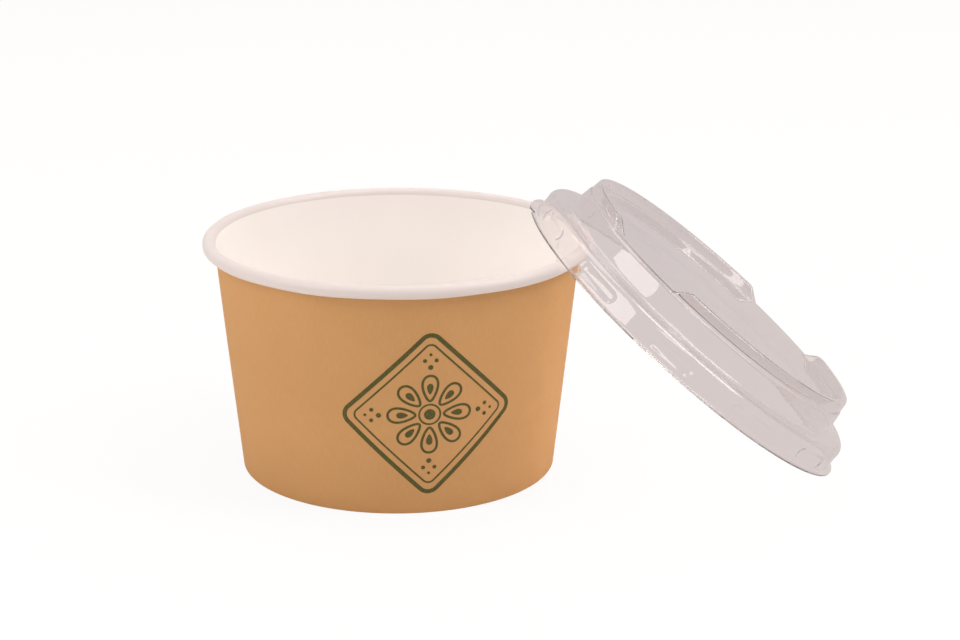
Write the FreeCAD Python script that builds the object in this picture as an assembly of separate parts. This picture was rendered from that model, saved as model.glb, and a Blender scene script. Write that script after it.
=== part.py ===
import FreeCAD, Part
import math
import os

from FreeCAD import Placement, Rotation, Vector

# A paper dessert cup with its clear lid taken off and leaning on the rim.
# Millimetres, +Z up, origin at the centre of the cup's foot, the lid on the +X side.

# Cup
cup_height = 58.0
rim_diameter = 95.0
base_diameter = 77.3
paper = 0.35             # sidewall sheet
curl_height = 3.2        # the rolled rim's section, measured across
curl_end_gap = 0.15      # between the roll's cut end and the wall
fold_radius = 0.05       # inside radius of the bottom fold's two bends
fold_leg = 5.0           # height of the folded-in hem at the foot

# Base disc
board = 0.30             # base sheet
base_height = 6.0        # underside of the disc above the foot
base_bend = 0.5          # inside radius where the disc turns down into its skirt
seal_gap = 0.03          # between the base's skirt and the fold that holds it

# Side seam, where the blank laps over itself
seam_azimuth = 28.0          # where the leaning lid covers it
lap_width = 8.0
ramp_width = 3.0         # over which the outer layer climbs onto the inner one

# Lid, measured in its own frame: flange on z = 0, dome upwards
sheet = 0.35             # formed plastic sheet
lid_fit = 0.05           # between the skirt and the rim when the lid is on
flange_width = 1.4
skirt_draft = 0.25       # how far each stretch leans in over its height
shoulder_height = 6.6
shoulder_radius = 2.0
shoulder_width = 5.55    # from the top of the skirt in to the dome
shoulder_rise = 0.6
valley_radius = 0.8
dome_height = 5.9        # from the valley up to the plateau
dome_draft = 0.9
plateau_radius = 1.2
rib_inset = 0.2          # from the plateau's edge to the two raised ribs
rib_foot_width = 3.6
rib_crest_width = 1.9
rib_rise = 2.7
rib_round = 0.7
rib_draft = 0.4
rib_azimuth = 136.5          # middle of the first rib, from the lowest point of the lid
rib_span = 148.5             # degrees of arc at the foot of a rib
rib_end_slope = 36.0
rib_count = 2
lug_count = 12
lug_azimuth = 16.0
lug_height = 3.0             # centre line above the flange
lug_length = 13.0
lug_radius = 2.2
lug_depth = 0.7
tab_start = 153.0            # pull tab, between two notches in the flange
tab_end = 180.0
tab_reach = 0.4
notch_radius = 1.4

# The lid's lean
lid_slope = 40.25            # flange from the horizontal
lean_azimuth = -1.5          # side of the cup on which the lid leans
lean_gap = 0.1               # between the lid and the rim

# Worked out from the sizes above
curl_radius = curl_height / 2
curl_ring = rim_diameter / 2 - curl_radius
curl_level = cup_height - curl_radius
base_radius = base_diameter / 2
reach = math.hypot(curl_ring - base_radius, curl_level)
taper = math.atan2(curl_ring - base_radius, curl_level) - math.asin((curl_radius - paper) / reach)
foot_width = 2 * paper + board + 2 * seal_gap
slope = math.radians(lid_slope)
skirt = rim_diameter / 2 + lid_fit + sheet
flange_edge = skirt + flange_width
shoulder = skirt - skirt_draft
valley = shoulder - shoulder_width
plateau = valley - dome_draft
rib_foot = plateau - rib_inset
valley_height = shoulder_height + shoulder_rise
plateau_height = valley_height + dome_height


def wall_radius(height, depth):
    """Radius at a height on the cone that lies a depth inside the wall's outer face."""
    return base_radius + height * math.tan(taper) - depth / math.cos(taper)


def wall_point(height, depth):
    return (wall_radius(height, depth), height)


def polar(centre, radius, degrees):
    angle = math.radians(degrees)
    return (centre[0] + radius * math.cos(angle), centre[1] + radius * math.sin(angle))


def at(point):
    """A point of a section, given as radius and height, on the XZ plane."""
    return Vector(point[0], 0, point[1])


def line(start, end):
    return Part.makeLine(at(start), at(end))


def arc(centre, radius, first, last):
    middle = (first + last) / 2
    ends = [at(polar(centre, radius, angle)) for angle in (first, middle, last)]
    return Part.Arc(*ends).toShape()


def rounded(points, radii):
    """Edges along the points, with each inner corner rounded to its own radius."""
    edges = []
    last = at(points[0])
    for before, corner, after, radius in zip(points, points[1:], points[2:], radii):
        back = (at(before) - at(corner)).normalize()
        onward = (at(after) - at(corner)).normalize()
        if radius > 0:
            half = back.getAngle(onward) / 2
            cut = radius / math.tan(half)
            inward = (back + onward).normalize()
            middle = at(corner) + inward * (radius / math.sin(half) - radius)
            start = at(corner) + back * cut
            end = at(corner) + onward * cut
            edges.append(Part.makeLine(last, start))
            edges.append(Part.Arc(start, middle, end).toShape())
            last = end
        else:
            edges.append(Part.makeLine(last, at(corner)))
            last = at(corner)
    edges.append(Part.makeLine(last, at(points[-1])))
    return edges


def turned(edges, degrees=360.0, start=0.0):
    """The section inside the edges, turned about the Z axis from the start angle."""
    face = Part.Face(Part.Wire(Part.__sortEdges__(edges)))
    solid = face.revolve(Vector(0, 0, 0), Vector(0, 0, 1), degrees)
    solid.rotate(Vector(0, 0, 0), Vector(0, 0, 1), start)
    return solid


def offset(points, depth):
    """The points moved a depth to the left of their path, with mitred corners."""
    normals = []
    for start, end in zip(points, points[1:]):
        length = math.dist(start, end)
        normals.append(((start[1] - end[1]) / length, (end[0] - start[0]) / length))
    pairs = zip([normals[0]] + normals, normals + [normals[-1]])
    moved = []
    for point, (first, second) in zip(points, pairs):
        share = depth / (1 + first[0] * second[0] + first[1] * second[1])
        moved.append((point[0] + (first[0] + second[0]) * share, point[1] + (first[1] + second[1]) * share))
    return moved


def rolled_rim(wall_end, wall_start):
    """The roll's edges, from the wall's inner face over the top and back to its outer face."""
    centre = (curl_ring, curl_level)
    first = 180 - math.degrees(taper)
    short = math.degrees(math.acos((curl_radius - paper - curl_end_gap) / curl_radius))
    last = first - 360 + short
    inner = curl_radius - paper
    return [
        line(wall_end, polar(centre, curl_radius, first)),
        arc(centre, curl_radius, first, last),
        line(polar(centre, curl_radius, last), polar(centre, inner, last)),
        arc(centre, inner, last, first),
        line(polar(centre, inner, first), wall_start),
    ]


def wall_band(first, second, bottom, top):
    """A ruled block between two edges of the seam, each given as angle and two depths."""
    rings = []
    for height in (bottom, top):
        corners = []
        for angle, near, far in (first, second):
            for depth in (near, far):
                corners.append(Vector(*polar((0, 0), wall_radius(height, depth), angle), height))
        order = [corners[0], corners[1], corners[3], corners[2], corners[0]]
        rings.append(Part.makePolygon(order))
    return Part.makeLoft(rings, True, True)


def make_sidewall():
    """Blank rolled out at the rim, folded in and up at the foot, and lapped at the seam."""
    outer_bend = fold_radius + paper
    middle_height = cup_height / 2
    foot = rounded(
        [
            wall_point(middle_height, 0),
            wall_point(0, 0),
            wall_point(0, foot_width),
            wall_point(fold_leg, foot_width),
            wall_point(fold_leg, foot_width - paper),
            wall_point(paper, foot_width - paper),
            wall_point(paper, paper),
            wall_point(middle_height, paper),
        ],
        [outer_bend, outer_bend, 0, 0, fold_radius, fold_radius],
    )
    rim = rolled_rim(wall_point(middle_height, paper), wall_point(middle_height, 0))
    wall = turned(foot + rim)

    lap_bottom = outer_bend
    lap_top = cup_height - curl_height
    middle_radius = wall_radius(middle_height, 0)
    lap_start = seam_azimuth - math.degrees(lap_width / middle_radius) / 2
    ramp_start = lap_start - math.degrees(ramp_width / middle_radius)
    sunk = paper / 2
    layer = [
        wall_point(lap_bottom, sunk),
        wall_point(lap_bottom, -paper),
        wall_point(lap_top, -paper),
        wall_point(lap_top, sunk),
        wall_point(lap_bottom, sunk),
    ]
    lap_degrees = math.degrees(lap_width / middle_radius)
    lap = turned([line(start, end) for start, end in zip(layer, layer[1:])], lap_degrees, lap_start)
    ramp = wall_band((ramp_start, sunk, 0), (lap_start, sunk, -paper), lap_bottom, lap_top)
    step_bottom = base_height + board + base_bend
    step_top = lap_top - paper
    step = wall_band((ramp_start, 2 * paper, paper), (lap_start, 2 * paper, 0), step_bottom, step_top)
    return wall.fuse([lap, ramp]).cut(step).removeSplitter()


def make_base_disc():
    """Disc with its edge turned down into a skirt that stands in the sidewall's fold."""
    top = base_height + board
    skirt_foot = paper + seal_gap
    outside = paper + seal_gap
    inside = outside + board
    outline = rounded(
        [
            (0, top),
            wall_point(top, outside),
            wall_point(skirt_foot, outside),
            wall_point(skirt_foot, inside),
            wall_point(base_height, inside),
            (0, base_height),
        ],
        [base_bend + board, 0, 0, base_bend],
    )
    return turned(outline + [line((0, base_height), (0, top))])


def lid_dome(depth, bottom):
    """Everything under the dome's surface, taken a depth inside it."""
    path = [
        (skirt - skirt_draft * bottom / shoulder_height, bottom),
        (shoulder, shoulder_height),
        (valley, valley_height),
        (plateau, plateau_height),
        (0, plateau_height),
    ]
    inner = offset(path, depth)
    middle = (0, inner[0][1])
    radii = [shoulder_radius - depth, valley_radius + depth, plateau_radius - depth]
    edges = rounded(inner, radii)
    return turned(edges + [line(inner[-1], middle), line(middle, inner[0])])


def lid_rib(depth, middle):
    """One raised rib, taken a depth inside its surface, with a slope at each end."""
    crest = plateau_height + rib_rise
    crest_outer = rib_foot - rib_draft
    crest_inner = crest_outer - rib_crest_width
    root = plateau_height - sheet - rib_rise / 2
    outer_slope = rib_draft / rib_rise
    inner_slope = (rib_foot_width - rib_draft - rib_crest_width) / rib_rise
    drop = crest - root
    path = [
        (crest_outer + outer_slope * drop, root),
        (crest_outer, crest),
        (crest_inner, crest),
        (crest_inner - inner_slope * drop, root),
    ]
    inner = offset(path, depth)
    radius = rib_round - depth
    edges = rounded(inner, [radius, radius])
    edges.append(line(inner[-1], inner[0]))
    start = middle - rib_span / 2
    rib = turned(edges, rib_span, start)
    tilt = math.radians(rib_end_slope)
    size = 4 * (rib_foot_width + rib_rise)
    for angle, side in ((start, 1), (start + rib_span, -1)):
        turn = Rotation(Vector(0, 0, 1), angle)
        radial = turn.multVec(Vector(1, 0, 0))
        along = turn.multVec(Vector(0, side, 0))
        climb = along * math.cos(tilt) + Vector(0, 0, math.sin(tilt))
        normal = Vector(0, 0, math.cos(tilt)) - along * math.sin(tilt)
        across = radial * side
        foot = radial * rib_foot + Vector(0, 0, plateau_height)
        corner = foot - (across + climb) * (size / 2) - normal * depth
        block = Part.makeBox(size, size, size)
        block.Placement = Placement(corner, Rotation(across, climb, normal, "ZXY"))
        rib = rib.cut(block)
    return rib


def lid_lug(depth, azimuth):
    """A sausage-shaped dent in the skirt that snaps under the rim."""
    radius = lug_radius + depth
    ring = skirt - skirt_draft * lug_height / shoulder_height + lug_radius - lug_depth
    chord = 2 * math.sqrt(lug_radius ** 2 - (lug_radius - lug_depth) ** 2)
    arc_degrees = math.degrees((lug_length - chord) / ring)
    start = azimuth - arc_degrees / 2
    circle = [arc((ring, lug_height), radius, 0, 180), arc((ring, lug_height), radius, 180, 360)]
    ends = []
    for angle in (start, start + arc_degrees):
        ends.append(Part.makeSphere(radius, Vector(*polar((0, 0), ring, angle), lug_height)))
    return turned(circle, arc_degrees, start).fuse(ends)


def lid_flange():
    """Flat rim of the lid, with a pull tab between two notches."""
    tab_edge = flange_edge + tab_reach
    flange = Part.makeCylinder(flange_edge, sheet)
    tab = Part.makeCylinder(tab_edge, sheet, Vector(0, 0, 0), Vector(0, 0, 1), tab_end - tab_start)
    tab.rotate(Vector(0, 0, 0), Vector(0, 0, 1), tab_start)
    flange = flange.fuse(tab)
    for angle in (tab_start, tab_end):
        middle = polar((0, 0), tab_edge, angle)
        flange = flange.cut(Part.makeCylinder(notch_radius, 3 * sheet, Vector(*middle, -sheet)))
    return flange


def lean_distance(centre_height):
    """How far from the cup's axis the lid comes to rest, found by halving the interval."""
    edges = [skirt - sheet, flange_edge]
    steps = 720
    points = [(edge, 2 * math.pi * step / steps) for edge in edges for step in range(steps)]

    def gap(distance):
        nearest = rim_diameter
        for edge, angle in points:
            down = edge * math.cos(angle)
            radius = math.hypot(distance + down * math.cos(slope), edge * math.sin(angle))
            height = centre_height - down * math.sin(slope)
            space = math.hypot(radius - curl_ring, height - curl_level) - curl_radius
            if height < curl_level:
                space = min(space, (radius - wall_radius(height, 0)) * math.cos(taper))
            nearest = min(nearest, space)
        return nearest

    near = rim_diameter / 2
    far = near + 2 * flange_edge
    while far - near > lean_gap / 100:
        middle = (near + far) / 2
        if gap(middle) > lean_gap:
            far = middle
        else:
            near = middle
    return far


def make_lid():
    """One formed sheet, set down on its flange's edge and leaning on the cup's rim."""
    middles = [rib_azimuth + number * 360 / rib_count for number in range(rib_count)]
    azimuths = [lug_azimuth + number * 360 / lug_count for number in range(lug_count)]
    outside = lid_dome(0, 0).fuse([lid_rib(0, middle) for middle in middles])
    outside = outside.cut([lid_lug(0, azimuth) for azimuth in azimuths]).fuse(lid_flange())
    hollow = lid_dome(sheet, -sheet).fuse([lid_rib(sheet, middle) for middle in middles])
    hollow = hollow.cut([lid_lug(sheet, azimuth) for azimuth in azimuths])
    lid = outside.cut(hollow).removeSplitter()
    centre_height = flange_edge * math.sin(slope)
    lid.rotate(Vector(0, 0, 0), Vector(0, 1, 0), lid_slope)
    lid.translate(Vector(lean_distance(centre_height), 0, centre_height))
    lid.rotate(Vector(0, 0, 0), Vector(0, 0, 1), lean_azimuth)
    return lid


os.makedirs("parts", exist_ok=True)
nodes = {
    "sidewall": make_sidewall(),
    "base_disc": make_base_disc(),
    "lid": make_lid(),
}
for name, shape in nodes.items():
    if shape.ShapeType == "Compound" and len(shape.Solids) == 1:
        shape = shape.Solids[0]
    shape.exportStep(f"parts/{name}.step")
    box = shape.BoundBox
    print(f"{name}: {len(shape.Solids)} solid, valid {shape.isValid()}, volume {shape.Volume:.1f} mm3")
    print(f"  x {box.XMin:.2f} to {box.XMax:.2f}, y {box.YMin:.2f} to {box.YMax:.2f}, z {box.ZMin:.2f} to {box.ZMax:.2f}")
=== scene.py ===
import math

import bpy
import numpy as np
from mathutils import Matrix


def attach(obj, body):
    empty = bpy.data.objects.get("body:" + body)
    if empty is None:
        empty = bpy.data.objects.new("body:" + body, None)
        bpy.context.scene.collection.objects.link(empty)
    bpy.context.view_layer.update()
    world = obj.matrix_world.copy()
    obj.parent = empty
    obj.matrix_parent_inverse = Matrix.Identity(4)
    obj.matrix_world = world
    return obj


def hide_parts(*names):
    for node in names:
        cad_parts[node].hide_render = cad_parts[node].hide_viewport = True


# Kraft paper dessert cup with its clear lid leaning on the rim.
# Lengths below are millimetres and become metres when a mesh is made.

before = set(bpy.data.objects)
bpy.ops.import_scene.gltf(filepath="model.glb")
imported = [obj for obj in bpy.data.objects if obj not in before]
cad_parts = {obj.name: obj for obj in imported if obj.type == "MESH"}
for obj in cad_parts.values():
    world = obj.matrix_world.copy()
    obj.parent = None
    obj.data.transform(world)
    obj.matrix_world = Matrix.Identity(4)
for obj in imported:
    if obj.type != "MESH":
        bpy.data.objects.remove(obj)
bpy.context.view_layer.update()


# tools for every piece

def linearColour(code):
    # sRGB hex to linear: c / 12.92 below 0.04045, else ((c + 0.055) / 1.055) ** 2.4
    values = np.array([int(code[i:i + 2], 16) for i in (0, 2, 4)]) / 255
    linear = np.where(values <= 0.04045, values / 12.92, ((values + 0.055) / 1.055) ** 2.4)
    return (*linear.tolist(), 1.0)


def polar(centre, radius, degrees):
    # centre + radius * (cos, sin)
    angle = math.radians(degrees)
    return (centre[0] + radius * math.cos(angle), centre[1] + radius * math.sin(angle))


def circleArc(centre, radius, first, last, count):
    # centre + radius * (cos a, sin a) with a from first to last degrees
    angle = np.radians(np.linspace(first, last, count + 1))
    return np.stack([centre[0] + radius * np.cos(angle), centre[1] + radius * np.sin(angle)], axis=1)


def roundedPath(corners, radii, counts):
    # straight runs joined by arcs that touch both runs: an arc's centre is radius / sin(half angle)
    # from its corner, on the line that halves the corner
    counts = np.broadcast_to(counts, len(radii))
    corners = np.array(corners, float)
    parts = [corners[:1]]
    for before, corner, after, radius, count in zip(corners, corners[1:], corners[2:], radii, counts):
        back = (before - corner) / np.linalg.norm(before - corner)
        onward = (after - corner) / np.linalg.norm(after - corner)
        half = math.acos(np.clip(back @ onward, -1, 1)) / 2
        middle = (back + onward) / np.linalg.norm(back + onward)
        centre = corner + middle * radius / math.sin(half)
        spoke = corner + back * radius / math.tan(half) - centre
        square = np.array([-spoke[1], spoke[0]])
        turn = math.copysign(math.pi - 2 * half, square @ -back)
        angle = np.linspace(0, turn, count + 1)[:, None]
        parts.append(centre + spoke * np.cos(angle) + square * np.sin(angle))
    parts.append(corners[-1:])
    return np.concatenate(parts)


def fillRuns(path, longest):
    # a run longer than the limit is cut into n equal parts: start + (end - start) * k / n
    runs = np.linalg.norm(np.diff(path, axis=0), axis=1)
    counts = np.maximum(np.ceil(runs / longest - 1e-6).astype(int), 1)
    index = np.repeat(np.arange(len(counts)), counts)
    share = np.concatenate([np.arange(n) / n for n in counts])[:, None]
    return np.concatenate([path[index] + (path[index + 1] - path[index]) * share, path[-1:]])


def smoothStep(value, low, high):
    # 3 t^2 - 2 t^3 with t = (value - low) / (high - low) held between 0 and 1
    t = np.clip((value - low) / (high - low), 0, 1)
    return t * t * (3 - 2 * t)


def turnedGrid(section, azimuths):
    # (r cos a, r sin a, z) for each row (r, z) and each column a
    radius, height = section[:, 0:1], section[:, 1:2]
    return np.stack([radius * np.cos(azimuths), radius * np.sin(azimuths), height + 0 * azimuths], axis=2)


def gridNormals(grid):
    # (along the rows) x (along the columns), the columns joined up
    down = np.gradient(grid, axis=0)
    across = np.roll(grid, -1, axis=1) - np.roll(grid, 1, axis=1)
    normal = np.cross(down, across)
    return normal / np.linalg.norm(normal, axis=2, keepdims=True)


def gridFaces(rows, columns, loop, poles):
    # quads (row, column), (row + 1, column), (row + 1, column + 1), (row, column + 1);
    # with poles, fans from the last two points to the first and the last row
    row = np.arange(rows if loop else rows - 1)[:, None]
    column = np.arange(columns)[None, :]
    nextRow, nextColumn = (row + 1) % rows, (column + 1) % columns
    quads = np.stack([row * columns + column, nextRow * columns + column,
                      nextRow * columns + nextColumn, row * columns + nextColumn], axis=2).reshape(-1, 4)
    if not poles:
        return quads, np.zeros((0, 3), int)
    column, nextColumn = column[0], nextColumn[0]
    first, last = np.full(columns, rows * columns), np.full(columns, rows * columns + 1)
    edge = (rows - 1) * columns
    fans = np.concatenate([np.stack([first, column, nextColumn], axis=1),
                           np.stack([edge + column, last, edge + nextColumn], axis=1)])
    return quads, fans


def makePiece(name, points, faces, materials, sheet=None, zones=None, sharpAngle=38):
    # points / 1000 in one smooth mesh; sheet is each vertex's place on the flat sheet in millimetres,
    # zones is each face's material, and edges past the sharp angle stay sharp
    mesh = bpy.data.meshes.new(name)
    mesh.from_pydata((points / 1000).tolist(), [], [face for group in faces for face in group.tolist()])
    for material in materials:
        mesh.materials.append(material)
    mesh.polygons.foreach_set("use_smooth", np.ones(len(mesh.polygons), bool))
    if zones is not None:
        mesh.polygons.foreach_set("material_index", zones.astype(np.int32))
    if sheet is not None:
        places = mesh.attributes.new("sheetMm", "FLOAT_VECTOR", "POINT")
        places.data.foreach_set("vector", sheet.astype(np.float32).ravel())
    mesh.set_sharp_from_angle(angle=math.radians(sharpAngle))
    mesh.update()
    piece = bpy.data.objects.new(name, mesh)
    bpy.context.scene.collection.objects.link(piece)
    return piece


def addNode(tree, kind, inputs=None, **settings):
    # one node with its settings; an input takes a value, or a link from another node's socket
    node = tree.nodes.new(kind)
    for key, value in settings.items():
        setattr(node, key, value)
    for key, value in (inputs or {}).items():
        if isinstance(value, bpy.types.NodeSocket):
            tree.links.new(value, node.inputs[key])
        else:
            node.inputs[key].default_value = value
    return node


def newMaterial(name):
    # a material with an empty node tree
    material = bpy.data.materials.new(name)
    material.use_nodes = True
    material.node_tree.nodes.clear()
    return material, material.node_tree


def setRamp(node, stops):
    # the ramp's stops as (position, linear colour)
    elements = node.color_ramp.elements
    while len(elements) < len(stops):
        elements.new(0.5)
    for element, (position, colour) in zip(elements, stops):
        element.position = position
        element.color = colour


# materials

board = {
    "kraft": "D0A06A",
    "kraftDark": "BB8E5B",
    "kraftLight": "DCB183",
    "fibreWidth": 0.32,      # a bundle of fibres, drawn a little wide so that it shows
    "fibreLength": 2.4,      # fibres run up the blank
    "fibreEven": 0.84,       # share of the plain kraft laid over them
    "cloudSize": 16.0,       # slow change of shade in the sheet
    "cloudDepth": 0.16,
    "fleckSize": 1.1,        # darker flecks of bark
    "fleckDepth": 0.35,
    "grainDepth": 0.04,
    "kraftRoughness": 0.80,
    "coating": "FCFAF8",
    "coatingShade": "F9F6F3",
    "rollPaintedShadeTone": "E6E0DE",  # painted shade: this and the next tone are the coating made darker on the rolled rim, for the shade that falls on the roll
    "rollPaintedShadeCloud": "E1DBD9",
    "coatingRoughness": 0.40,
    "roughnessSpread": 0.05,
    "pebbleSize": 1.6,       # faint print of the board through its coating
}


def kraftBoard():
    # natural kraft face of cup board, uncoated and calendered: matte, warm brown, with fibres along the sheet
    material, tree = newMaterial("kraftBoard")
    kraft, dark, light = [linearColour(board[tone]) for tone in ("kraft", "kraftDark", "kraftLight")]
    place = addNode(tree, "ShaderNodeAttribute", attribute_name="sheetMm").outputs["Vector"]
    along = addNode(tree, "ShaderNodeMapping",
                    {"Vector": place, "Scale": (1 / board["fibreWidth"], 1 / board["fibreLength"], 1)})
    fibre = addNode(tree, "ShaderNodeTexNoise",
                    {"Vector": along.outputs[0], "Scale": 1.0, "Detail": 5.0, "Roughness": 0.6})
    cloud = addNode(tree, "ShaderNodeTexNoise",
                    {"Vector": place, "Scale": 1 / board["cloudSize"], "Detail": 3.0})
    fleck = addNode(tree, "ShaderNodeTexNoise",
                    {"Vector": place, "Scale": 1 / board["fleckSize"], "Detail": 4.0, "Roughness": 0.7})
    fibreShade = addNode(tree, "ShaderNodeValToRGB", {"Fac": fibre.outputs["Fac"]})
    setRamp(fibreShade, [(0.30, dark), (0.50, kraft), (0.72, light)])
    evened = addNode(tree, "ShaderNodeMix",
                     {0: board["fibreEven"], 6: fibreShade.outputs["Color"], 7: kraft}, data_type="RGBA")
    cloudAmount = addNode(tree, "ShaderNodeMapRange",
                          {"Value": cloud.outputs["Fac"], "From Min": 0.35, "From Max": 0.70,
                           "To Min": 0.0, "To Max": board["cloudDepth"]})
    clouded = addNode(tree, "ShaderNodeMix",
                      {0: cloudAmount.outputs[0], 6: evened.outputs[2], 7: dark}, data_type="RGBA")
    fleckAmount = addNode(tree, "ShaderNodeMapRange",
                          {"Value": fleck.outputs["Fac"], "From Min": 0.62, "From Max": 0.72,
                           "To Min": 0.0, "To Max": board["fleckDepth"]})
    flecked = addNode(tree, "ShaderNodeMix",
                      {0: fleckAmount.outputs[0], 6: clouded.outputs[2], 7: dark}, data_type="RGBA")
    bump = addNode(tree, "ShaderNodeBump",
                   {"Height": fibre.outputs["Fac"], "Strength": 0.25, "Distance": board["grainDepth"] / 1000})
    shader = addNode(tree, "ShaderNodeBsdfPrincipled",
                     {"Base Color": flecked.outputs[2], "Roughness": board["kraftRoughness"],
                      "Specular IOR Level": 0.3, "Normal": bump.outputs[0]})
    addNode(tree, "ShaderNodeOutputMaterial", {"Surface": shader.outputs[0]})
    return material


def coatedBoard(name, light, shade):
    # bleached board under a polyethylene film: white, slightly warm and satin, with a faint pebble
    # that comes from the board
    material, tree = newMaterial(name)
    satin, spread = board["coatingRoughness"], board["roughnessSpread"]
    place = addNode(tree, "ShaderNodeTexCoord").outputs["Object"]
    pebble = addNode(tree, "ShaderNodeTexNoise",
                     {"Vector": place, "Scale": 1000 / board["pebbleSize"], "Detail": 3.0})
    cloud = addNode(tree, "ShaderNodeTexNoise",
                    {"Vector": place, "Scale": 1000 / board["cloudSize"], "Detail": 2.0})
    tone = addNode(tree, "ShaderNodeMix",
                   {0: cloud.outputs["Fac"], 6: linearColour(light), 7: linearColour(shade)},
                   data_type="RGBA")
    polish = addNode(tree, "ShaderNodeMapRange",
                     {"Value": pebble.outputs["Fac"], "From Min": 0.3, "From Max": 0.7,
                      "To Min": satin - spread, "To Max": satin + spread})
    bump = addNode(tree, "ShaderNodeBump",
                   {"Height": pebble.outputs["Fac"], "Strength": 0.12,
                    "Distance": board["grainDepth"] / 1000})
    shader = addNode(tree, "ShaderNodeBsdfPrincipled",
                     {"Base Color": tone.outputs[2], "Roughness": polish.outputs[0],
                      "Specular IOR Level": 0.5, "Normal": bump.outputs[0]})
    addNode(tree, "ShaderNodeOutputMaterial", {"Surface": shader.outputs[0]})
    return material


film = {
    "tint": "F7F5F5",
    "index": 1.575,          # PET
    "roughness": 0.02,
    "hazeSpread": 2.5,       # roughness grows by this factor where the sheet was drawn most
    "rippleSize": 11.0,      # slow unevenness left by forming
    "rippleDepth": 0.1,
    "shade": "FEFDFD",       # lamplight that each face lets through
}


def clearFilm():
    # thermoformed PET sheet: clear and glossy, with slow ripples that bend its reflections;
    # lamps shine through it by the shadow ray mix, so what is behind it isn't left dark
    material, tree = newMaterial("clearPetSheet")
    place = addNode(tree, "ShaderNodeTexCoord").outputs["Object"]
    ripple = addNode(tree, "ShaderNodeTexNoise",
                     {"Vector": place, "Scale": 1000 / film["rippleSize"], "Detail": 1.0})
    haze = addNode(tree, "ShaderNodeMapRange",
                   {"Value": ripple.outputs["Fac"], "From Min": 0.3, "From Max": 0.7,
                    "To Min": film["roughness"], "To Max": film["roughness"] * film["hazeSpread"]})
    bump = addNode(tree, "ShaderNodeBump",
                   {"Height": ripple.outputs["Fac"], "Strength": 0.12,
                    "Distance": film["rippleDepth"] / 1000})
    shader = addNode(tree, "ShaderNodeBsdfPrincipled",
                     {"Base Color": linearColour(film["tint"]), "Roughness": haze.outputs[0],
                      "IOR": film["index"], "Transmission Weight": 1.0, "Normal": bump.outputs[0]})
    clear = addNode(tree, "ShaderNodeBsdfTransparent", {"Color": linearColour(film["shade"])})
    path = addNode(tree, "ShaderNodeLightPath")
    mixed = addNode(tree, "ShaderNodeMixShader",
                    {0: path.outputs["Is Shadow Ray"], 1: shader.outputs[0], 2: clear.outputs[0]})
    addNode(tree, "ShaderNodeOutputMaterial", {"Surface": mixed.outputs[0]})
    return material


ink = {
    "colour": "50522A",
    "worn": "6E6536",
    "speckSize": 0.45,       # paper grain that the ink doesn't fill
    "speckDepth": 0.02,
    "roughness": 0.72,
}


def printedInk():
    # water-based flexographic ink on kraft: flat dark olive that thins out over the paper's grain
    material, tree = newMaterial("oliveInk")
    place = addNode(tree, "ShaderNodeTexCoord").outputs["Object"]
    speck = addNode(tree, "ShaderNodeTexNoise",
                    {"Vector": place, "Scale": 1000 / ink["speckSize"], "Detail": 3.0, "Roughness": 0.7})
    tone = addNode(tree, "ShaderNodeValToRGB", {"Fac": speck.outputs["Fac"]})
    setRamp(tone, [(0.45, linearColour(ink["colour"])), (0.72, linearColour(ink["worn"]))])
    bump = addNode(tree, "ShaderNodeBump",
                   {"Height": speck.outputs["Fac"], "Strength": 0.15, "Distance": ink["speckDepth"] / 1000})
    shader = addNode(tree, "ShaderNodeBsdfPrincipled",
                     {"Base Color": tone.outputs["Color"], "Roughness": ink["roughness"],
                      "Specular IOR Level": 0.3, "Normal": bump.outputs[0]})
    addNode(tree, "ShaderNodeOutputMaterial", {"Surface": shader.outputs[0]})
    return material


kraftMaterial = kraftBoard()
coatedMaterial = coatedBoard("coatedBoard", board["coating"], board["coatingShade"])
# the rolled rim's material is a darker copy of the coated board: painted shade on the roll
rollPaintedShadeMaterial = coatedBoard("rolledBoardPaintedShade", board["rollPaintedShadeTone"], board["rollPaintedShadeCloud"])
filmMaterial = clearFilm()
inkMaterial = printedInk()
print("materials made")


# the cup's sidewall

cup = {
    "height": 58.0,
    "rimRadius": 47.5,
    "footRadius": 38.65,
    "paper": 0.35,
    "rollRadius": 1.6,       # rolled rim, outside
    "rollGap": 0.15,         # from the roll's cut end to the wall
    "hemHeight": 5.0,        # bottom edge folded in and up
    "hemDepth": 1.06,        # from the wall's outer face to the hem's inner face
    "bendRadius": 0.4,
    "foldRadius": 0.05,      # inside of the fold
    "seamMiddle": 28.0,      # degrees, where the lid covers it
    "lapWidth": 8.0,
    "rampWidth": 3.0,
    "cutWidth": 0.03,        # degrees over which a cut edge drops
    "lapFade": 1.0,          # the lap's step fades over this at its ends
    "lapFoot": 6.4,          # where the lap begins inside, above the base
    "lapPast": 0.6,          # how far it reaches past the roll's foot outside
    "lapBulge": 0.1,         # the roll over the lap
    "bulgeFade": 3.0,        # degrees
    "rollFade": 2.0,
    "rollEdge": 0.8,         # the roll's lower edge, which waves a little
    "rollWave": (0.05, 11, 1.3),    # size, waves round, phase
    "wallWaves": ((0.03, 3, 0.7), (0.025, 7, 2.1), (0.015, 17, 0.0)),
    "wavesMean": -0.07,
    "wavesFrom": 30.0,       # height from which the wall is a little out of round
    "columns": 400,
    "rampColumns": 7,
    "lapColumns": 14,
    "bendSteps": 6,
    "foldSteps": 3,
    "rollSteps": 44,
    "rollInsideSteps": 20,
    "longestRun": 2.0,
    "slack": 0.01,           # for comparing the heights of rows
}
rollCentre = (cup["rimRadius"] - cup["rollRadius"], cup["height"] - cup["rollRadius"])
wallSpan = math.hypot(rollCentre[0] - cup["footRadius"], rollCentre[1])
taper = (math.atan2(rollCentre[0] - cup["footRadius"], rollCentre[1])
         - math.asin((cup["rollRadius"] - cup["paper"]) / wallSpan))
lapTop = cup["height"] - 2 * cup["rollRadius"]


def wallRadius(height, depth):
    # cone: foot radius + height * tan(taper) - depth / cos(taper)
    return cup["footRadius"] + height * math.tan(taper) - depth / math.cos(taper)


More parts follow.
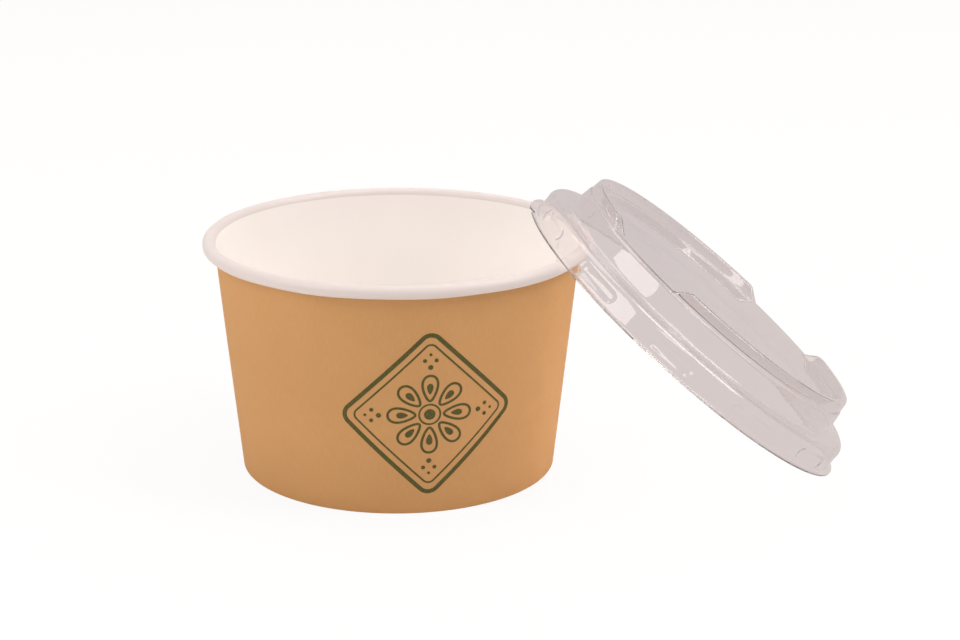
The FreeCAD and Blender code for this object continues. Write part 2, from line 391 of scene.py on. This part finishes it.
def wallPoint(height, depth):
    # (the cone's radius at this height and depth, height)
    return (wallRadius(height, depth), height)


def sidewallParts():
    # the paper's closed section as (path of (r, z), material zone): the kraft side from the roll down round
    # the fold, the hem's edge, the coated side up again, then the roll's outside, cut edge and inside
    paper, hem, deep = cup["paper"], cup["hemHeight"], cup["hemDepth"]
    innerRoll = cup["rollRadius"] - paper
    rollStart = 180 - math.degrees(taper)
    rollShort = math.degrees(math.acos((innerRoll - cup["rollGap"]) / cup["rollRadius"]))
    rollEnd = rollStart - 360 + rollShort
    kraftCorners = [polar(rollCentre, innerRoll, rollStart), wallPoint(0, 0), wallPoint(0, deep),
                    wallPoint(hem, deep)]
    coatedCorners = [wallPoint(hem, deep - paper), wallPoint(paper, deep - paper), wallPoint(paper, paper),
                     polar(rollCentre, cup["rollRadius"], rollStart)]
    kraftPath = roundedPath(kraftCorners, [cup["bendRadius"]] * 2, cup["bendSteps"])
    coatedPath = roundedPath(coatedCorners, [cup["foldRadius"]] * 2, cup["foldSteps"])
    rollCut = [polar(rollCentre, cup["rollRadius"], rollEnd), polar(rollCentre, innerRoll, rollEnd)]
    return [
        (fillRuns(kraftPath, cup["longestRun"]), 0),
        (np.array([kraftCorners[-1], coatedCorners[0]]), 0),
        (fillRuns(coatedPath, cup["longestRun"]), 1),
        (circleArc(rollCentre, cup["rollRadius"], rollStart, rollEnd, cup["rollSteps"]), 2),
        (np.array(rollCut), 0),
        (circleArc(rollCentre, innerRoll, rollEnd, rollStart, cup["rollInsideSteps"]), 0),
    ]


def sidewallAzimuths(rampStart, lapStart, lapEnd):
    # even columns round the plain wall, closer ones on the ramp and the lap
    cut = cup["cutWidth"]
    return np.concatenate([np.linspace(lapEnd - 360 + cut, rampStart, cup["columns"]),
                           np.linspace(rampStart, lapStart, cup["rampColumns"])[1:],
                           np.linspace(lapStart + cut, lapEnd, cup["lapColumns"])])


def makeSidewall():
    # one closed section (r, z) turned about Z; the lap adds a step to r over part of the turn, and
    # a sum of sines puts the wall a little out of round
    parts = sidewallParts()
    section = np.concatenate([path[:-1] for path, zone in parts])
    zoneOfRow = np.concatenate([np.full(len(path) - 1, zone) for path, zone in parts])
    partOfRow = np.concatenate([np.full(len(path) - 1, number) for number, (path, zone) in enumerate(parts)])
    kraftSide, coatedSide, rollOutside = [(partOfRow == number)[:, None] for number in (0, 2, 3)]

    middleRadius = wallRadius(cup["height"] / 2, 0)
    lapHalf = math.degrees(cup["lapWidth"] / middleRadius) / 2
    lapStart, lapEnd = cup["seamMiddle"] - lapHalf + 360, cup["seamMiddle"] + lapHalf + 360
    rampStart = lapStart - math.degrees(cup["rampWidth"] / middleRadius)
    azimuths = sidewallAzimuths(rampStart, lapStart, lapEnd)
    angle = np.radians(azimuths)
    ramp = np.clip((azimuths - rampStart) / (lapStart - rampStart), 0, 1)
    outerStep = cup["paper"] * ramp
    innerStep = cup["paper"] * ramp * (azimuths <= lapStart)
    bulge = cup["lapBulge"] * smoothStep(azimuths, rampStart, lapStart)
    bulge = bulge * smoothStep(lapEnd - azimuths, 0, cup["bulgeFade"])

    grid = turnedGrid(section, angle)
    radius, height, fade = section[:, 0:1], section[:, 1:2], cup["lapFade"]
    aboveBend = (height > cup["bendRadius"] - cup["slack"]) * (radius > wallRadius(height, cup["paper"] / 2))
    outerShare = kraftSide * aboveBend * smoothStep(height, 0, fade)
    outerShare = outerShare * smoothStep(lapTop + cup["lapPast"] - height, 0, fade)
    innerShare = coatedSide * smoothStep(height, cup["lapFoot"], cup["lapFoot"] + fade)
    innerShare = innerShare * smoothStep(lapTop - height, 0, fade)
    rollShare = rollOutside * smoothStep(height, lapTop, lapTop + cup["rollFade"])
    shift = outerShare * outerStep + innerShare * innerStep + rollShare * bulge
    uneven = sum(size * np.sin(count * angle + phase) for size, count, phase in cup["wallWaves"])
    shift = shift + smoothStep(height, cup["wavesFrom"], cup["height"]) * (uneven + cup["wavesMean"])
    size, count, phase = cup["rollWave"]
    grid[:, :, 0] += shift * np.cos(angle)
    grid[:, :, 1] += shift * np.sin(angle)
    grid[:, :, 2] += rollOutside * (height < lapTop + cup["rollEdge"]) * size * np.sin(count * angle + phase)

    rows, columns = len(section), len(azimuths)
    quads = gridFaces(rows, columns, True, False)[0]
    along = np.concatenate([[0], np.cumsum(np.linalg.norm(np.diff(section, axis=0), axis=1))])[:, None]
    sheet = np.stack([np.broadcast_to(angle * middleRadius, (rows, columns)),
                      np.broadcast_to(along, (rows, columns)), np.zeros((rows, columns))], axis=2)
    # zone 2, the roll's outside, takes the darker copy of the coating: painted shade
    materials = [kraftMaterial, coatedMaterial, rollPaintedShadeMaterial]
    return makePiece("cupSidewall", grid.reshape(-1, 3), [quads], materials, sheet.reshape(-1, 3),
                     np.repeat(zoneOfRow, columns))


sidewall = makeSidewall()
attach(sidewall, "root")
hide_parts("sidewall")
print("sidewall made")


# the base

base = {
    "level": 6.0,            # underside above the foot
    "board": 0.30,
    "gap": 0.03,             # to the fold that holds it
    "bendRadius": 0.5,
    "edgeRadius": 0.03,
    "sag": 0.12,
    "flatInset": 1.5,        # from the wall to where the sag begins
    "columns": 240,
    "discMargin": 0.2,       # rows from this far below the underside up belong to the disc
    "bendSteps": 6,
    "longestRun": 3.0,
}


def makeBase():
    # disc and skirt as one section turned about Z, with z lowered by sag * (1 - (r / R)^2)
    top, outside = base["level"] + base["board"], cup["paper"] + base["gap"]
    inside = outside + base["board"]
    corners = [(0, top), wallPoint(top, outside), wallPoint(outside, outside), wallPoint(outside, inside),
               wallPoint(base["level"], inside), (0, base["level"])]
    radii = [base["bendRadius"] + base["board"], base["edgeRadius"], base["edgeRadius"], base["bendRadius"]]
    section = fillRuns(roundedPath(corners, radii, base["bendSteps"]), base["longestRun"])
    isDisc = section[:, 1] > base["level"] - base["discMargin"]
    share = np.clip(section[:, 0] / (wallRadius(top, outside) - base["flatInset"]), 0, 1)
    section[:, 1] -= isDisc * base["sag"] * (1 - share ** 2)
    azimuths = np.linspace(0, 2 * math.pi, base["columns"], endpoint=False)
    grid = turnedGrid(section[1:-1], azimuths)
    quads, fans = gridFaces(grid.shape[0], grid.shape[1], False, True)
    poles = [[0, 0, section[0, 1]], [0, 0, section[-1, 1]]]
    return makePiece("cupBase", np.concatenate([grid.reshape(-1, 3), poles]), [quads, fans], [coatedMaterial])


baseDisc = makeBase()
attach(baseDisc, "root")
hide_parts("base_disc")
print("base made")


# the print on the wall

emblem = {
    "azimuth": -80.0,        # middle of the print
    "level": 25.5,
    "lift": 0.03,            # the ink's face above the paper
    "sunk": 0.05,
    "frameHalf": 21.0,       # lozenge, middle to corner
    "frameLine": 1.05,
    "innerHalf": 18.2,
    "innerLine": 0.45,
    "cornerRadius": 2.6,
    "innerCornerRadius": 1.56,
    "petals": 8,
    "petalStart": 3.4,
    "petalEnd": 9.8,
    "petalHalf": 2.15,
    "petalLine": 0.6,
    "petalFull": 0.8,        # half width at the middle, as a share
    "petalLean": 0.3,        # more of it towards the outer end
    "dropStart": 5.1,        # the filled drop inside a petal
    "dropEnd": 7.8,
    "dropHalf": 0.903,
    "heartRadius": 1.35,
    "ringRadius": 2.5,
    "dotRadius": 0.62,
    # dots of a corner: out from the middle, aside, share of the dot radius
    "dots": ((11.9, 0, 1.0), (13.6, 1.35, 0.8), (13.6, -1.35, 0.8), (15.1, 0, 0.6)),
    "cornerSteps": 10,
    "longestRun": 1.0,
    "ringPoints": 48,
    "heartPoints": 32,
    "petalPoints": 64,
    "dotPoints": 20,
}


def onWall(flat, lift):
    # (across, up) on the print to the cone: azimuth = middle + across / r, z = level + up * cos(taper)
    height = emblem["level"] + flat[:, 1] * math.cos(taper)
    face = wallRadius(height, 0)
    angle = math.radians(emblem["azimuth"]) + flat[:, 0] / face
    radius = wallRadius(height, -lift)
    return np.stack([radius * np.cos(angle), radius * np.sin(angle), height], axis=1)


def inkLine(path, width):
    # a closed line as a thin band: path + side * width / 2, with a top, a bottom and two edges
    tangent = np.roll(path, -1, axis=0) - np.roll(path, 1, axis=0)
    tangent /= np.linalg.norm(tangent, axis=1, keepdims=True)
    side = np.stack([tangent[:, 1], -tangent[:, 0]], axis=1) * width / 2
    rings = [onWall(path + side, emblem["lift"]), onWall(path - side, emblem["lift"]),
             onWall(path - side, -emblem["sunk"]), onWall(path + side, -emblem["sunk"])]
    quads, fans = gridFaces(len(rings), len(path), True, False)
    return np.concatenate(rings), quads, fans


def inkDot(outline):
    # a filled shape: its outline joined to its middle on both faces
    middle = outline.mean(axis=0, keepdims=True)
    points = np.concatenate([onWall(outline, emblem["lift"]), onWall(outline, -emblem["sunk"]),
                             onWall(middle, emblem["lift"]), onWall(middle, -emblem["sunk"])])
    quads, fans = gridFaces(2, len(outline), False, True)
    return points, quads, fans


def circleLine(middle, radius, count):
    # middle + radius * (cos a, sin a) once round
    angle = np.linspace(0, 2 * math.pi, count, endpoint=False)
    return np.stack([middle[0] + radius * np.cos(angle), middle[1] + radius * np.sin(angle)], axis=1)


def lozenge(half, radius):
    # a square on its corner, each corner an arc
    corners = [(half / 2, half / 2), (0, half), (-half, 0), (0, -half), (half, 0), (half / 2, half / 2)]
    rounded = roundedPath(corners, [radius] * 4, emblem["cornerSteps"])
    return fillRuns(rounded, emblem["longestRun"])[:-1]


def petalLine(angle, start, end, half):
    # x goes from start to end and back as -cos t, y = half * sin t * (full - lean * cos t), and both are
    # turned by the angle
    t = np.linspace(0, 2 * math.pi, emblem["petalPoints"], endpoint=False)
    x = (start + end) / 2 - (end - start) / 2 * np.cos(t)
    y = half * np.sin(t) * (emblem["petalFull"] - emblem["petalLean"] * np.cos(t))
    return np.stack([x * math.cos(angle) - y * math.sin(angle),
                     x * math.sin(angle) + y * math.cos(angle)], axis=1)


def joinShapes(shapes):
    # all points in one array; each shape's faces count on from the points before it
    starts = np.cumsum([0] + [len(points) for points, quads, fans in shapes])
    points = np.concatenate([shape[0] for shape in shapes])
    quads = np.concatenate([shape[1] + start for shape, start in zip(shapes, starts)])
    fans = np.concatenate([shape[2] + start for shape, start in zip(shapes, starts)])
    return points, quads, fans


def makePrint():
    # two lozenges, a ring with a heart, the petals with their drops and the dots in the four corners
    shapes = [inkLine(lozenge(emblem["frameHalf"], emblem["cornerRadius"]), emblem["frameLine"]),
              inkLine(lozenge(emblem["innerHalf"], emblem["innerCornerRadius"]), emblem["innerLine"]),
              inkLine(circleLine((0, 0), emblem["ringRadius"], emblem["ringPoints"]), emblem["innerLine"]),
              inkDot(circleLine((0, 0), emblem["heartRadius"], emblem["heartPoints"]))]
    for angle in np.arange(emblem["petals"]) * 2 * math.pi / emblem["petals"]:
        petal = petalLine(angle, emblem["petalStart"], emblem["petalEnd"], emblem["petalHalf"])
        drop = petalLine(angle, emblem["dropStart"], emblem["dropEnd"], emblem["dropHalf"])
        shapes += [inkLine(petal, emblem["petalLine"]), inkDot(drop)]
    for angle in np.arange(4) * math.pi / 2:
        for reach, side, share in emblem["dots"]:
            middle = (reach * math.cos(angle) - side * math.sin(angle),
                      reach * math.sin(angle) + side * math.cos(angle))
            dot = circleLine(middle, emblem["dotRadius"] * share, emblem["dotPoints"])
            shapes.append(inkDot(dot))
    points, quads, fans = joinShapes(shapes)
    return makePiece("frontPrint", points, [quads, fans], [inkMaterial])


frontPrint = makePrint()
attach(frontPrint, "root")
print("print made")


# the clear lid

lid = {
    "sheet": 0.35,
    "skirt": 47.9,           # radius at the foot of the skirt
    "flange": 49.29,
    "flangeFillet": 0.3,
    "flangeRun": 0.6,        # a first stretch of the flange, for the fillet to end in
    "shoulder": 47.65,
    "shoulderHeight": 6.6,
    "shoulderRound": 2.0,
    "valley": 42.1,
    "valleyHeight": 7.2,
    "valleyRound": 0.8,
    "plateau": 41.2,
    "plateauHeight": 13.1,
    "plateauRound": 1.2,
    "plateauStart": 36.0,    # where the turned profile begins, level
    "ribFoot": 41.0,
    "ribWidth": 3.6,
    "ribCrest": 1.9,
    "ribRise": 2.7,
    "ribRound": 0.7,
    "ribFootRound": 0.5,
    "ribDraft": 0.4,
    "ribRunIn": 1.2,         # level stretch inside a rib
    "ribClear": 0.02,        # from a rib's foot to the next row, at least
    "ribMiddle": 136.5,      # degrees from the lid's lowest point
    "ribSpan": 148.5,
    "ribSlope": 36.0,        # of the ramp at a rib's end
    "rampTop": 1.3,          # the ramp ends at this many times the rise
    "ribBlend": 0.5,         # rounding between the ramp and the rib
    "lugs": 12,
    "lugAzimuth": 16.0,
    "lugHeight": 3.0,
    "lugLength": 13.0,
    "lugRadius": 2.2,
    "lugDepth": 0.7,
    "lugEdge": 0.05,         # rounding where a lug meets the skirt
    "lugMargin": 0.4,        # the rounding ends this far out
    "lugsBeyond": 43.1,      # radius inside which nothing is pressed in
    "tabStart": 153.0,
    "tabEnd": 180.0,
    "tabReach": 0.38,
    "notchRadius": 1.4,
    "slope": 40.25,          # lean of the flange
    "leanDistance": 70.077,  # from the cup's axis to the middle of the flange
    "leanAzimuth": -1.5,
    "columns": 540,
    "densitySteps": 7200,
    # columns crowd at rib ends, tab ends and lug ends: degrees wide, height
    "ribCrowd": (4.0, 1.6),
    "tabCrowd": (1.9, 4.0),
    "lugCrowd": (1.8, 1.0),
    "lugCrowdInset": 1.5,    # degrees from a lug's end
    "middleRows": (3.0, 9.0, 16.0, 23.0, 29.0, 33.5),
    "flangeShares": (0.5, 0.86, 1.0),   # rows from the flange's foot to its edge
    "arcSteps": (9, 6, 9, 4),           # plateau, valley, shoulder, flange fillet
    "ribArcSteps": (4, 6, 8),
    "ribRun": 0.7,           # longest step between rows
    "wallRun": 1.2,
    "skirtRun": 0.31,        # closer on the skirt, for the lugs
    "sharpAngle": 50,        # edges past this stay sharp
}


def crowdedAngles(count, features):
    # columns by equal shares of a density 1 + sum of height * exp(-(d / width)^2) round the circle
    dense = np.linspace(0, 360, lid["densitySteps"] + 1)
    density = np.ones_like(dense)
    for middle, width, height in features:
        away = (dense - middle + 180) % 360 - 180
        density += height * np.exp(-(away / width) ** 2)
    total = np.concatenate([[0], np.cumsum((density[1:] + density[:-1]) / 2)])
    return np.interp(np.linspace(0, total[-1], count, endpoint=False), total, dense)


def lidColumns():
    # columns crowd at the ends of the ribs, the lugs and the tab: features are (degrees, width, height)
    ribEnds = [lid["ribMiddle"] + side * lid["ribSpan"] / 2 + turn for side in (-1, 1) for turn in (0, 180)]
    lugMiddles = [lid["lugAzimuth"] + number * 360 / lid["lugs"] for number in range(lid["lugs"])]
    lugHalf = math.degrees(lid["lugLength"] / 2 / lid["skirt"])
    inset = lugHalf - lid["lugCrowdInset"]
    features = [(end, *lid["ribCrowd"]) for end in ribEnds]
    features += [(end, *lid["tabCrowd"]) for end in (lid["tabStart"], lid["tabEnd"])]
    features += [(middle + side * inset, *lid["lugCrowd"]) for middle in lugMiddles for side in (-1, 1)]
    return crowdedAngles(lid["columns"], features)


def ribAllowance(degrees):
    # height allowed at an azimuth: distance from the nearest rib end * tan(slope), zero outside a rib
    allowed = np.zeros_like(degrees)
    for middle in (lid["ribMiddle"], lid["ribMiddle"] + 180):
        away = np.abs((degrees - middle + 180) % 360 - 180)
        inside = np.radians(lid["ribSpan"] / 2 - away) * lid["ribFoot"]
        ramp = np.clip(inside * math.tan(math.radians(lid["ribSlope"])), 0, lid["rampTop"] * lid["ribRise"])
        allowed = np.maximum(allowed, ramp)
    return allowed


def softLower(first, second, blend):
    # smooth minimum: the lower of two heights, rounded over the blend
    share = np.clip(0.5 + 0.5 * (second - first) / blend, 0, 1)
    return second * (1 - share) + first * share - blend * share * (1 - share)


def lugDent(height, degrees):
    # depth of a sausage-shaped dent: sqrt(R^2 - t^2) - (R - depth), t from the sausage's centre line,
    # and where it falls below zero (depth + sqrt(depth^2 + edge^2)) / 2 rounds it off
    radius, floor, edge = lid["lugRadius"], lid["lugRadius"] - lid["lugDepth"], lid["lugEdge"]
    spacing = 360 / lid["lugs"]
    away = (degrees - lid["lugAzimuth"] + spacing / 2) % spacing - spacing / 2
    straight = lid["lugLength"] / 2 - math.sqrt(radius ** 2 - floor ** 2)
    past = np.maximum(np.abs(np.radians(away)) * lid["skirt"] - straight, 0)
    reach = np.hypot(past, height - lid["lugHeight"])
    depth = np.sqrt(np.maximum(radius ** 2 - reach ** 2, 0)) - floor
    return (depth + np.sqrt(depth ** 2 + edge ** 2)) / 2 * (reach < radius + lid["lugMargin"])


def flangeEdge(degrees):
    # round flange, a tab standing out a little, and a circular bite at each end of it
    notch, tabEdge = lid["notchRadius"], lid["flange"] + lid["tabReach"]
    edge = lid["flange"] + lid["tabReach"] * ((degrees > lid["tabStart"]) & (degrees < lid["tabEnd"]))
    for middle in (lid["tabStart"], lid["tabEnd"]):
        away = np.radians((degrees - middle + 180) % 360 - 180) * lid["flange"]
        bite = tabEdge - np.sqrt(np.maximum(notch ** 2 - away ** 2, 0))
        edge = np.where(np.abs(away) < notch, np.minimum(edge, bite), edge)
    return edge


def lidSlopes():
    # the turned profile (r, z) from the plateau by valley, shoulder and skirt to the flange's first stretch
    skirtAt = lid["skirt"] - (lid["skirt"] - lid["shoulder"]) * lid["sheet"] / lid["shoulderHeight"]
    corners = [(lid["plateauStart"], lid["plateauHeight"]), (lid["plateau"], lid["plateauHeight"]),
               (lid["valley"], lid["valleyHeight"]), (lid["shoulder"], lid["shoulderHeight"]),
               (skirtAt, lid["sheet"]), (lid["skirt"] + lid["flangeRun"], lid["sheet"])]
    radii = [lid["plateauRound"], lid["valleyRound"], lid["shoulderRound"], lid["flangeFillet"]]
    return roundedPath(corners, radii, lid["arcSteps"])[1:-1]


def ribProfile():
    # a rib's section (r, height above the lid) from inside its inner wall to its foot outside
    crestOuter = lid["ribFoot"] - lid["ribDraft"]
    crestInner = crestOuter - lid["ribCrest"]
    ribInner = lid["ribFoot"] - lid["ribWidth"]
    corners = [(ribInner - lid["ribRunIn"], 0), (ribInner, 0), (crestInner, lid["ribRise"]),
               (crestOuter, lid["ribRise"]), (lid["ribFoot"], 0)]
    radii = [lid["ribFootRound"], lid["ribRound"], lid["ribRound"]]
    return fillRuns(roundedPath(corners, radii, lid["ribArcSteps"]), lid["ribRun"])


def lidOutside(degrees):
    # rows from the middle to the flange's edge: a turned profile, with ribs raised on it by the lower of
    # the rib's section and its ramp, and lugs pressed into the skirt
    middle = np.array(lid["middleRows"])
    rib, slopes = ribProfile(), lidSlopes()
    plainHeight = np.interp(np.concatenate([middle, rib[:, 0]]), slopes[:, 0], slopes[:, 1])[:, None]
    filletRows = lid["arcSteps"][-1] + 1
    walls = fillRuns(slopes[:-filletRows], lid["wallRun"])[:-1]
    skirtRows = fillRuns(slopes[-filletRows - 1:], lid["skirtRun"])
    slopes = np.concatenate([walls, skirtRows])
    slopes = slopes[slopes[:, 0] > lid["ribFoot"] + lid["ribClear"]]

    allowed = ribAllowance(degrees)[None, :]
    blend = lid["ribBlend"] * np.clip(allowed / lid["ribRise"], 0.001, 1)
    raised = np.maximum(softLower(rib[:, 1:2] + 0 * allowed, allowed + 0 * rib[:, 1:2], blend), 0)
    raised = np.concatenate([0 * middle[:, None] + 0 * allowed, raised])
    height = np.concatenate([plainHeight + raised, slopes[:, 1:2] + 0 * allowed])
    radius = np.concatenate([middle, rib[:, 0], slopes[:, 0]])[:, None] + 0 * allowed
    radius = radius - lugDent(height, degrees[None, :]) * (radius > lid["lugsBeyond"])

    share = np.array(lid["flangeShares"])[:, None]
    foot = slopes[-1, 0]
    radius = np.concatenate([radius, foot + (flangeEdge(degrees)[None, :] - foot) * share])
    height = np.concatenate([height, lid["sheet"] + 0 * share + 0 * allowed])
    angle = np.radians(degrees)
    return np.stack([radius * np.cos(angle), radius * np.sin(angle), height], axis=2)


def leanLid(points):
    # turn about Y by the slope, move out and up so that the flange touches the table,
    # and turn about Z by the azimuth
    slope, azimuth = math.radians(lid["slope"]), math.radians(lid["leanAzimuth"])
    x = points[:, 0] * math.cos(slope) + points[:, 2] * math.sin(slope) + lid["leanDistance"]
    z = points[:, 2] * math.cos(slope) - points[:, 0] * math.sin(slope) + lid["flange"] * math.sin(slope)
    y = points[:, 1]
    return np.stack([x * math.cos(azimuth) - y * math.sin(azimuth),
                     x * math.sin(azimuth) + y * math.cos(azimuth), z], axis=1)


def makeLid():
    # outside - sheet * normal gives the inside; the two meet at the flange's edge
    outside = lidOutside(lidColumns())
    normal = gridNormals(outside)
    flangeRows = len(lid["flangeShares"])
    normal[-flangeRows:] = (0, 0, 1)  # the flange is flat
    inside = (outside - lid["sheet"] * normal)[::-1]
    inside[:flangeRows, :, 2] = 0
    grid = np.concatenate([outside, inside])
    rows, columns = grid.shape[:2]
    quads, fans = gridFaces(rows, columns, False, True)
    poles = [[0, 0, lid["plateauHeight"]], [0, 0, lid["plateauHeight"] - lid["sheet"]]]
    points = leanLid(np.concatenate([grid.reshape(-1, 3), poles]))
    print("lid rows", rows, "columns", columns, "triangles", 2 * len(quads) + len(fans))
    return makePiece("clearLid", points, [quads, fans], [filmMaterial], sharpAngle=lid["sharpAngle"])


clearLid = makeLid()
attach(clearLid, "root")
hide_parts("lid")
print("lid made")


# floor, light and camera

studio = {
    "paper": "F2F0EE",
    "behindFilm": "D4CBCA",  # what the clear film mirrors and shows of a white room
    "white": (1, 1, 1, 1),
    "roomFront": "6C6968",   # soft light that reaches the cup from behind the camera
    "roomBack": "EEE6E1",    # and from beyond the cup
    "frontEnd": -0.8,        # share of -Y and of +Y in a direction where each is full
    "backEnd": 0.6,
    "lampColour": "FFF6F1",
    "lampAim": (0.02, 0, 0.03),   # metres
    "floorReach": 3000.0,
    "floorGlow": 0.88,       # share of the floor's white that has no shadow
    "glow": 1.015,
    "bounces": 96,           # light goes many times to and fro inside the clear sheet
}


def backgroundColour(tree, ordinary):
    # white for camera rays, the paler grey for mirrored rays and rays through the film, the ordinary colour
    # for all others; the second output is 1 for the first two kinds and 0 for the others
    path = addNode(tree, "ShaderNodeLightPath")
    seen = addNode(tree, "ShaderNodeMath",
                   {0: path.outputs["Is Transmission Ray"], 1: path.outputs["Is Glossy Ray"]},
                   operation="MAXIMUM")
    grey = addNode(tree, "ShaderNodeMix",
                   {0: seen.outputs[0], 6: ordinary, 7: linearColour(studio["behindFilm"])}, data_type="RGBA")
    white = addNode(tree, "ShaderNodeMix",
                    {0: path.outputs["Is Camera Ray"], 6: grey.outputs[2], 7: studio["white"]},
                    data_type="RGBA")
    either = addNode(tree, "ShaderNodeMath",
                     {0: seen.outputs[0], 1: path.outputs["Is Camera Ray"]}, operation="MAXIMUM")
    return white.outputs[2], either.outputs[0]


def makeFloor():
    # a flat square of matte paper that glows a little, so that it looks white and still takes a shadow
    reach = studio["floorReach"]
    points = np.array([(-reach, -reach, 0), (reach, -reach, 0), (reach, reach, 0), (-reach, reach, 0)])
    material, tree = newMaterial("studioPaper")
    colour, seen = backgroundColour(tree, linearColour(studio["paper"]))
    share = addNode(tree, "ShaderNodeMath", {0: seen, 1: studio["floorGlow"]}, operation="MULTIPLY")
    matte = addNode(tree, "ShaderNodeBsdfDiffuse", {"Color": linearColour(studio["paper"])})
    glow = addNode(tree, "ShaderNodeEmission", {"Color": colour, "Strength": studio["glow"]})
    mixed = addNode(tree, "ShaderNodeMixShader",
                    {0: share.outputs[0], 1: matte.outputs[0], 2: glow.outputs[0]})
    addNode(tree, "ShaderNodeOutputMaterial", {"Surface": mixed.outputs[0]})
    return makePiece("studioFloor", points, [np.array([[0, 1, 2, 3]])], [material])


floor = makeFloor()


def makeRoom():
    # world colour = front + (back - front) * t, with t from 0 to 1 between the two shares of Y
    world = bpy.data.worlds.new("studioRoom")
    bpy.context.scene.world = world
    world.use_nodes = True
    tree = world.node_tree
    tree.nodes.clear()
    direction = addNode(tree, "ShaderNodeTexCoord").outputs["Generated"]
    sides = addNode(tree, "ShaderNodeSeparateXYZ", {"Vector": direction})
    depth = addNode(tree, "ShaderNodeMapRange",
                    {"Value": sides.outputs["Y"], "From Min": studio["frontEnd"],
                     "From Max": studio["backEnd"]})
    roomLight = addNode(tree, "ShaderNodeMix",
                        {0: depth.outputs[0], 6: linearColour(studio["roomFront"]),
                         7: linearColour(studio["roomBack"])}, data_type="RGBA")
    colour = backgroundColour(tree, roomLight.outputs[2])[0]
    room = addNode(tree, "ShaderNodeBackground", {"Color": colour, "Strength": 1.0})
    addNode(tree, "ShaderNodeOutputWorld", {"Surface": room.outputs[0]})


makeRoom()

softboxes = {
    # name: (azimuth from the camera's side, elevation, distance, width, height, radiance),
    # degrees and metres, about the aim
    "leftSoftbox": (-59.0, 31.0, 1.1, 0.78, 0.84, 2.35),
    "rightSoftbox": (74.0, 45.0, 1.1, 0.45, 1.0, 3.95),
    "topSoftbox": (180.0, 78.0, 1.2, 0.9, 0.7, 1.5),
    "frontSoftbox": (26.0, 43.0, 1.1, 0.60, 0.15, 2.6),
}


def placeByAxes(name, data, across, upward, backward, place):
    # a lamp or camera looks along -Z of the axes (across, upward, backward) from its place, in metres
    matrix = np.eye(4)
    matrix[:3, 0], matrix[:3, 1], matrix[:3, 2], matrix[:3, 3] = across, upward, backward, place
    thing = bpy.data.objects.new(name, data)
    thing.matrix_world = Matrix(matrix.tolist())
    bpy.context.scene.collection.objects.link(thing)
    return thing


def addSoftbox(name, azimuth, elevation, distance, width, height, radiance):
    # a rectangle that faces the cup; its power is pi * area * radiance
    light = bpy.data.lights.new(name, "AREA")
    light.shape = "RECTANGLE"
    light.size, light.size_y = width, height
    light.energy = math.pi * width * height * radiance
    light.color = linearColour(studio["lampColour"])[:3]
    side, lift = math.radians(azimuth), math.radians(elevation)
    away = np.array([math.sin(side) * math.cos(lift), -math.cos(side) * math.cos(lift), math.sin(lift)])
    across = np.cross([0, 0, 1], away)
    across = across / np.linalg.norm(across)
    place = np.array(studio["lampAim"]) + away * distance
    placeByAxes(name, light, across, np.cross(away, across), away, place)


for lampName, lampFacts in softboxes.items():
    addSoftbox(lampName, *lampFacts)

shot = {
    "elevation": 17.69,
    "distance": 578.2,       # from a point above the foot
    "aim": 30.0,             # height of that point
    "focus": 2336.3,         # pixels of a picture of that width
    "pictureWidth": 960,
    "sensor": 36.0,
    "yaw": -2.006,
    "pitch": 0.542,
    "roll": 0.343,
    "clip": (0.01, 20),      # metres
}


def turnAbout(vector, axis, degrees):
    # Rodrigues: v cos + (a x v) sin + a (a . v)(1 - cos)
    angle = math.radians(degrees)
    turned = vector * math.cos(angle) + np.cross(axis, vector) * math.sin(angle)
    return turned + axis * (axis @ vector) * (1 - math.cos(angle))


def addCamera():
    # on the -Y side at the shot's elevation, then turned by yaw, pitch and roll
    lift, distance = math.radians(shot["elevation"]), shot["distance"]
    place = np.array([0, -distance * math.cos(lift), shot["aim"] + distance * math.sin(lift)])
    ahead, right = np.array([0, math.cos(lift), -math.sin(lift)]), np.array([1.0, 0, 0])
    upward = np.array([0, math.sin(lift), math.cos(lift)])
    ahead, right = turnAbout(ahead, upward, shot["yaw"]), turnAbout(right, upward, shot["yaw"])
    ahead, upward = turnAbout(ahead, right, shot["pitch"]), turnAbout(upward, right, shot["pitch"])
    right, upward = turnAbout(right, ahead, shot["roll"]), turnAbout(upward, ahead, shot["roll"])
    camera = bpy.data.cameras.new("photoCamera")
    camera.sensor_width = shot["sensor"]
    camera.lens = shot["focus"] * shot["sensor"] / shot["pictureWidth"]
    camera.clip_start, camera.clip_end = shot["clip"]
    bpy.context.scene.camera = placeByAxes("photoCamera", camera, right, upward, -ahead, place / 1000)


addCamera()
bpy.context.scene.view_settings.view_transform = "Standard"
bpy.context.scene.cycles.max_bounces = studio["bounces"]
bpy.context.scene.cycles.glossy_bounces = studio["bounces"]
bpy.context.scene.cycles.transmission_bounces = studio["bounces"]
print("floor, light and camera made")
